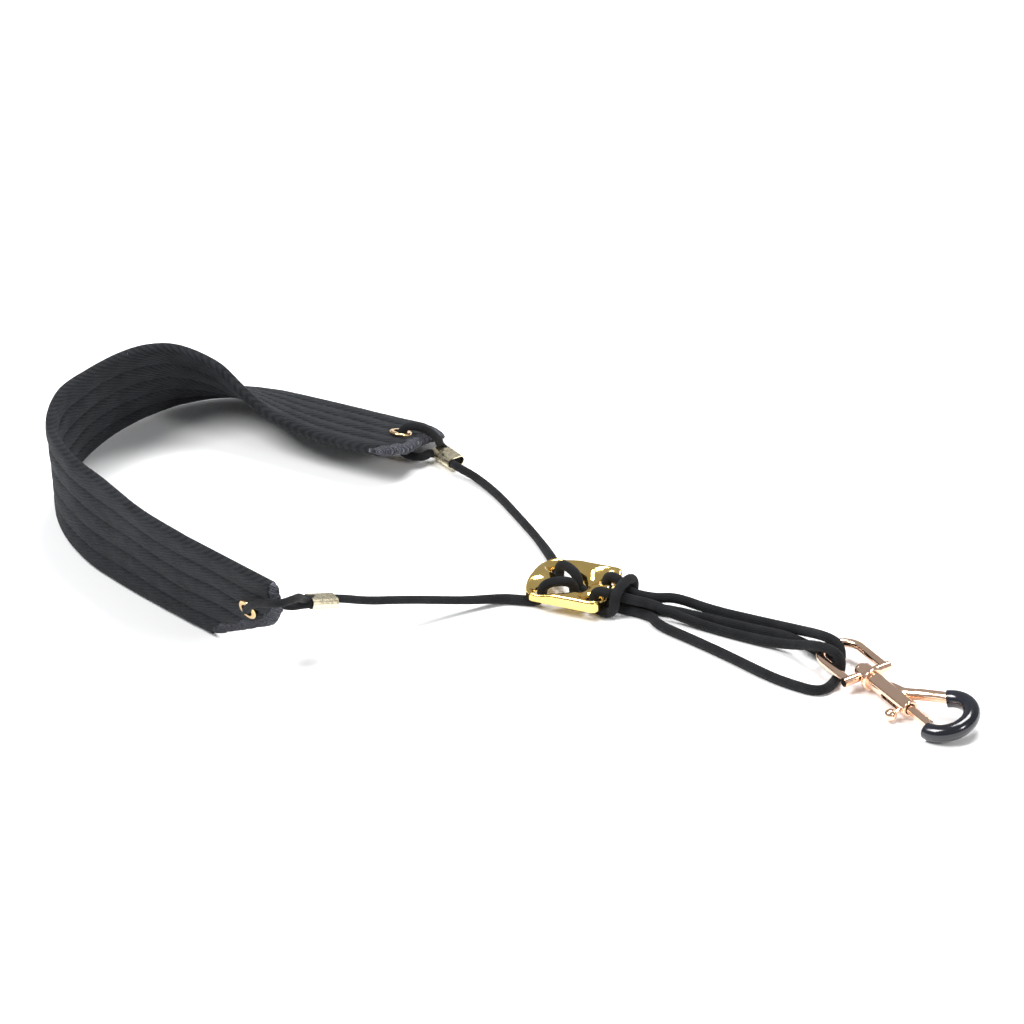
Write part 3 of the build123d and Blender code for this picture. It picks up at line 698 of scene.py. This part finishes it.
def coil_spring():
    """The spring in the barrel, as a fixed coil at rest; the real spring shortens as the thumb knob is drawn
    back.
    """
    side = HOOK_AXIS.cross(Vector((0, 0, 1))).normalized()
    up = side.cross(HOOK_AXIS)
    steps = SPRING_TURNS * 36
    around = 10
    vertices = []
    for i in range(steps + 1):
        turn = 2 * math.pi * SPRING_TURNS * i / steps
        out = side * math.cos(turn) + up * math.sin(turn)
        middle = HOOK_ZERO + HOOK_AXIS * (SPRING_FOOT + SPRING_LONG * i / steps) + out * SPRING_RADIUS
        for j in range(around):
            angle = 2 * math.pi * j / around
            spoke = out * math.cos(angle) + HOOK_AXIS * math.sin(angle)
            vertices.append(tuple(middle + spoke * SPRING_WIRE / 2))
    faces = [
        (i * around + j, i * around + (j + 1) % around,
         (i + 1) * around + (j + 1) % around, (i + 1) * around + j)
        for i in range(steps) for j in range(around)]
    faces.append(tuple(range(around)))
    faces.append(tuple(steps * around + j for j in reversed(range(around))))
    piece = new_piece("coil_spring", vertices, faces)
    face_out(piece)
    return piece


coil = coil_spring()
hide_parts("trigger_spring")
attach(coil, "hook")
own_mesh(coil)


# ---------------------------------------------------------------- materials
def material(name, colour, roughness, metallic=0.0, **more):
    """A principled material with its plain values set."""
    m = bpy.data.materials.new(name)
    m.use_nodes = True
    shader = m.node_tree.nodes["Principled BSDF"]
    shader.inputs["Base Color"].default_value = (*colour, 1)
    shader.inputs["Roughness"].default_value = roughness
    shader.inputs["Metallic"].default_value = metallic
    for key, value in more.items():
        shader.inputs[key.replace("_", " ")].default_value = value
    return m


class Nodes:
    """Short ways to add and join a material's nodes."""

    def __init__(self, m):
        self.tree = m.node_tree
        self.shader = self.tree.nodes["Principled BSDF"]

    def add(self, kind, **settings):
        node = self.tree.nodes.new(kind)
        for key, value in settings.items():
            setattr(node, key, value)
        return node

    def join(self, a, b):
        self.tree.links.new(a, b)

    def put(self, value, socket):
        if hasattr(value, "is_output"):
            self.join(value, socket)
        else:
            socket.default_value = value

    def math(self, operation, a, b=0.0):
        node = self.add("ShaderNodeMath", operation=operation)
        self.put(a, node.inputs[0])
        self.put(b, node.inputs[1])
        return node.outputs[0]

    def attribute(self, name):
        node = self.add("ShaderNodeAttribute", attribute_name=name)
        split = self.add("ShaderNodeSeparateXYZ")
        self.join(node.outputs["Vector"], split.inputs[0])
        return node.outputs["Vector"], split.outputs

    def noise(self, scale, detail=3.0, rough=0.5, vector=None):
        node = self.add("ShaderNodeTexNoise")
        node.inputs["Scale"].default_value = scale
        node.inputs["Detail"].default_value = detail
        node.inputs["Roughness"].default_value = rough
        if vector is None:
            vector = self.add("ShaderNodeTexCoord").outputs["Object"]
        self.join(vector, node.inputs["Vector"])
        return node.outputs["Fac"]

    def ramp(self, value, stops):
        node = self.add("ShaderNodeValToRGB")
        ramp = node.color_ramp
        while len(ramp.elements) < len(stops):
            ramp.elements.new(0.5)
        for element, (place, colour) in zip(ramp.elements, stops):
            element.position = place
            element.color = (*colour, 1) if len(colour) == 3 else colour
        self.join(value, node.inputs[0])
        return node.outputs[0]

    def bump(self, height, distance, strength=1.0, normal=None):
        node = self.add("ShaderNodeBump")
        node.inputs["Distance"].default_value = distance
        node.inputs["Strength"].default_value = strength
        self.join(height, node.inputs["Height"])
        if normal is not None:
            self.join(normal, node.inputs["Normal"])
        self.join(node.outputs[0], self.shader.inputs["Normal"])
        return node.outputs[0]


def mixed(nodes, share, first, second):
    """Two colours mixed by a share."""
    node = nodes.add("ShaderNodeMix", data_type="RGBA")
    nodes.put(share, node.inputs[0])
    for value, socket in ((first, node.inputs[6]), (second, node.inputs[7])):
        if isinstance(value, tuple):
            socket.default_value = (*value, 1)
        else:
            nodes.join(value, socket)
    return node.outputs[2]


def cord_material():
    """Tight black braid: crossing yarns with fine fibres, painted shade in the dips between yarns, and a
    little lint.
    """
    m = material("black_braid", (0.010, 0.011, 0.012), 0.75, Sheen_Weight=0.04, Sheen_Roughness=0.4,
                 Specular_IOR_Level=0.2)
    n = Nodes(m)
    part = n.attribute("lay")[1]
    angle = n.math("ARCTAN2", part[1], part[0])
    far = n.math("MULTIPLY", part[2], 2 * math.pi / PLAIT_PITCH)
    left = n.math("MULTIPLY", n.math("ADD", angle, far), float(PLAIT))
    right = n.math("MULTIPLY", n.math("SUBTRACT", angle, far), float(PLAIT))
    cross = n.math("MULTIPLY", n.math("COSINE", left), n.math("COSINE", right))
    fibre = n.math("SINE", n.math("MULTIPLY", left, 5.0))
    other = n.math("SINE", n.math("MULTIPLY", right, 5.0))
    strands = n.math("ADD", n.math("MULTIPLY", fibre, 0.16), n.math("MULTIPLY", other, 0.16))
    height = n.math("ADD", n.math("MULTIPLY", cross, 0.5), strands)
    n.bump(height, 0.00016, 0.9)
    tone = n.noise(160.0, 4.0)
    # painted shade: the crossing term that raises the yarns also darkens the dips between them; the noise
    # adds uneven tone
    shade = n.math("ADD", n.math("MULTIPLY", cross, 0.35), tone)
    colour = n.ramp(shade, [(0.25, (0.002, 0.0021, 0.0025)), (0.95, (0.016, 0.017, 0.020))])
    lint = n.ramp(n.noise(2600.0, 2.0), [(0.74, (0, 0, 0)), (0.80, (1, 1, 1))])
    both = mixed(n, n.math("MULTIPLY", lint, 0.3), colour, (0.09, 0.10, 0.11))
    n.join(both, n.shader.inputs["Base Color"])
    return m


def cloth_material(name, dark, light, lint_colour):
    """Black coated cloth with a fine diagonal weave, painted shade in the weave's furrows, a blue-grey bloom
    and some lint.
    """
    m = material(name, dark, 0.8, Sheen_Weight=0.03, Sheen_Roughness=0.45,
                 Sheen_Tint=(0.75, 0.85, 1.0, 1.0), Specular_IOR_Level=0.2)
    n = Nodes(m)
    vector, part = n.attribute("cloth")
    waver = n.math("MULTIPLY", n.noise(0.35, 2.0, 0.5, vector), 0.5)
    slant = n.math("ADD", n.math("MULTIPLY", part[0], 0.38), n.math("MULTIPLY", part[1], 0.925))
    slant = n.math("ADD", slant, waver)
    cross = n.math("SUBTRACT", n.math("MULTIPLY", part[1], 0.38), n.math("MULTIPLY", part[0], 0.925))
    pitch = 1.15
    wale = n.math("SINE", n.math("MULTIPLY", slant, 2 * math.pi / pitch))
    yarn = n.math("SINE", n.math("MULTIPLY", cross, 2 * math.pi / 0.55))
    height = n.math("ADD", n.math("MULTIPLY", wale, 0.5), n.math("MULTIPLY", yarn, 0.22))
    grain = n.noise(3.2, 3.0, 0.6, vector)
    height = n.math("ADD", height, n.math("MULTIPLY", grain, 0.9))
    n.bump(height, 0.00022, 0.85)
    patch = n.noise(0.12, 3.0, 0.55, vector)
    # uneven tone in patches plus painted shade: the wale term that raises the twill ridges darkens the
    # furrows between them
    shade = n.math("ADD", n.math("MULTIPLY", patch, 0.8), n.math("MULTIPLY", wale, 0.16))
    colour = n.ramp(shade, [(0.20, dark), (0.62, light)])
    lint = n.ramp(n.noise(1.1, 2.0, 0.6, vector), [(0.735, (0, 0, 0)), (0.77, (1, 1, 1))])
    both = mixed(n, n.math("MULTIPLY", lint, 0.5), colour, lint_colour)
    n.join(both, n.shader.inputs["Base Color"])
    return m


FIBRE_PITCH = 0.32      # millimetres between the fibres of the hem's thread


def hem_material():
    """Dark slate thread, painted pale on the raised stitches and their fuzz as a painted highlight, and
    darker between them as painted shade.
    """
    m = material("hem_thread", (0.03, 0.031, 0.036), 0.88, Sheen_Weight=0.06, Sheen_Roughness=0.5,
                 Specular_IOR_Level=0.2)
    n = Nodes(m)
    vector, part = n.attribute("cloth")
    lean = n.math("ADD", part[0], n.math("MULTIPLY", part[1], 0.15))
    fibre = n.math("SINE", n.math("MULTIPLY", lean, 2 * math.pi / FIBRE_PITCH))
    fuzz = n.noise(2.6, 4.0, 0.65, vector)
    n.bump(n.math("ADD", n.math("MULTIPLY", fibre, 0.3), fuzz), 0.0003, 0.9)
    # painted highlight and painted shade: the colour follows the stitch height and the fuzz bump, pale on
    # the crests and dark in the gaps
    shade = n.math("ADD", n.math("MULTIPLY", part[2], 0.35), fuzz)
    colour = n.ramp(shade, [
        (0.35, (0.006, 0.0065, 0.008)), (0.74, (0.028, 0.029, 0.037)), (1.0, (0.20, 0.205, 0.24))])
    n.join(colour, n.shader.inputs["Base Color"])
    return m


def metal_material(name, colour, warm, rough, brushed=0.0):
    """Polished plating: slight waviness, faint handling marks and darker tone in patches."""
    m = material(name, colour, rough, metallic=1.0)
    n = Nodes(m)
    place = n.add("ShaderNodeTexCoord").outputs["Object"]
    soft = n.noise(90.0, 2.0, 0.5, place)
    fine = n.noise(2200.0, 3.0, 0.6, place)
    wave = n.math("ADD", n.math("MULTIPLY", soft, 1.0), n.math("MULTIPLY", fine, 0.03 + brushed))
    n.bump(wave, 0.00012, 0.3)
    tone = n.ramp(soft, [(0.3, warm), (0.7, colour)])
    n.join(tone, n.shader.inputs["Base Color"])
    mark = n.noise(700.0, 4.0, 0.7, place)
    span = n.add("ShaderNodeMapRange")
    span.inputs["From Min"].default_value = 0.35
    span.inputs["From Max"].default_value = 0.75
    span.inputs["To Min"].default_value = rough * 0.7
    span.inputs["To Max"].default_value = rough * 1.9
    n.join(mark, span.inputs["Value"])
    n.join(span.outputs[0], n.shader.inputs["Roughness"])
    return m


def vinyl_material():
    """Glossy dipped vinyl with a faint orange-peel surface."""
    m = material("dipped_vinyl", (0.006, 0.007, 0.012), 0.16, Coat_Weight=0.4, Coat_Roughness=0.08)
    n = Nodes(m)
    place = n.add("ShaderNodeTexCoord").outputs["Object"]
    peel = n.noise(420.0, 2.0, 0.4, place)
    drip = n.noise(80.0, 1.0, 0.4, place)
    n.bump(n.math("ADD", n.math("MULTIPLY", peel, 0.35), drip), 0.0004, 0.5)
    colour = n.ramp(drip, [(0.3, (0.004, 0.0045, 0.008)), (0.7, (0.011, 0.012, 0.02))])
    n.join(colour, n.shader.inputs["Base Color"])
    return m


black_braid = cord_material()
band_cloth = cloth_material(
    "band_cloth", (0.0055, 0.006, 0.007), (0.017, 0.0185, 0.0215), (0.24, 0.26, 0.28))
hem_thread = hem_material()
gold = metal_material("polished_gold", (0.93, 0.68, 0.24), (0.88, 0.60, 0.18), 0.10)
copper = metal_material("rose_gold", (0.95, 0.67, 0.50), (0.90, 0.60, 0.43), 0.13)
eyelet_brass = metal_material("eyelet_brass", (0.86, 0.60, 0.32), (0.80, 0.52, 0.24), 0.16)
ferrule_brass = metal_material("ferrule_brass", (0.80, 0.72, 0.52), (0.74, 0.65, 0.44), 0.26, 0.02)
steel = metal_material("spring_wire", (0.6, 0.6, 0.6), (0.5, 0.5, 0.5), 0.3)
vinyl = vinyl_material()


def dress(piece, m):
    """The piece shows this material everywhere."""
    if not piece.data.materials:
        piece.data.materials.append(m)
    for k in range(len(piece.material_slots)):
        piece.material_slots[k].link = "OBJECT"
        piece.material_slots[k].material = m


for piece, *_ in cords:
    dress(piece, black_braid)
dress(band, band_cloth)
dress(hem_near, hem_thread)
dress(hem_far, hem_thread)
dress(plate, gold)
for node in ("eyelet_near", "eyelet_far", "eyelet_washer_near", "eyelet_washer_far"):
    dress(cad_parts[node], eyelet_brass)
for node in ("ferrule_near", "ferrule_far"):
    dress(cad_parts[node], ferrule_brass)
for node in ("swivel_eye", "swivel_stud", "hook_body", "plunger", "thumb_knob", "barrel_plug"):
    dress(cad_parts[node], copper)
dress(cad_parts["hook_sleeve"], vinyl)
dress(coil, steel)

# ---------------------------------------------------------------- floor and light
floor = new_piece("floor", [(-4000, -4000, 0), (4000, -4000, 0), (4000, 4000, 0), (-4000, 4000, 0)],
                  [(0, 1, 2, 3)])
dress(floor, material("floor_white", (0.94, 0.94, 0.94), 0.9))


def add_light(name, place, aim, size, power):
    """A large soft area light."""
    data = bpy.data.lights.new(name, "AREA")
    data.size = size
    data.energy = power
    light = bpy.data.objects.new(name, data)
    light.location = place
    light.rotation_euler = (Vector(aim) - Vector(place)).to_track_quat("-Z", "Y").to_euler()
    bpy.context.collection.objects.link(light)


add_light("key", (-0.5, -0.9, 1.5), (0, 0, 0), 0.7, 30)
add_light("fill", (1.5, -0.3, 0.9), (0, 0, 0), 0.35, 9)
add_light("top", (0.1, 0.5, 1.8), (0, 0, 0), 0.8, 34)
world = bpy.data.worlds.new("studio")
bpy.context.scene.world = world
world.use_nodes = True
world.node_tree.nodes["Background"].inputs[0].default_value = (0.95, 0.97, 1.0, 1)
world.node_tree.nodes["Background"].inputs[1].default_value = 0.4
bpy.context.scene.view_settings.view_transform = "Standard"
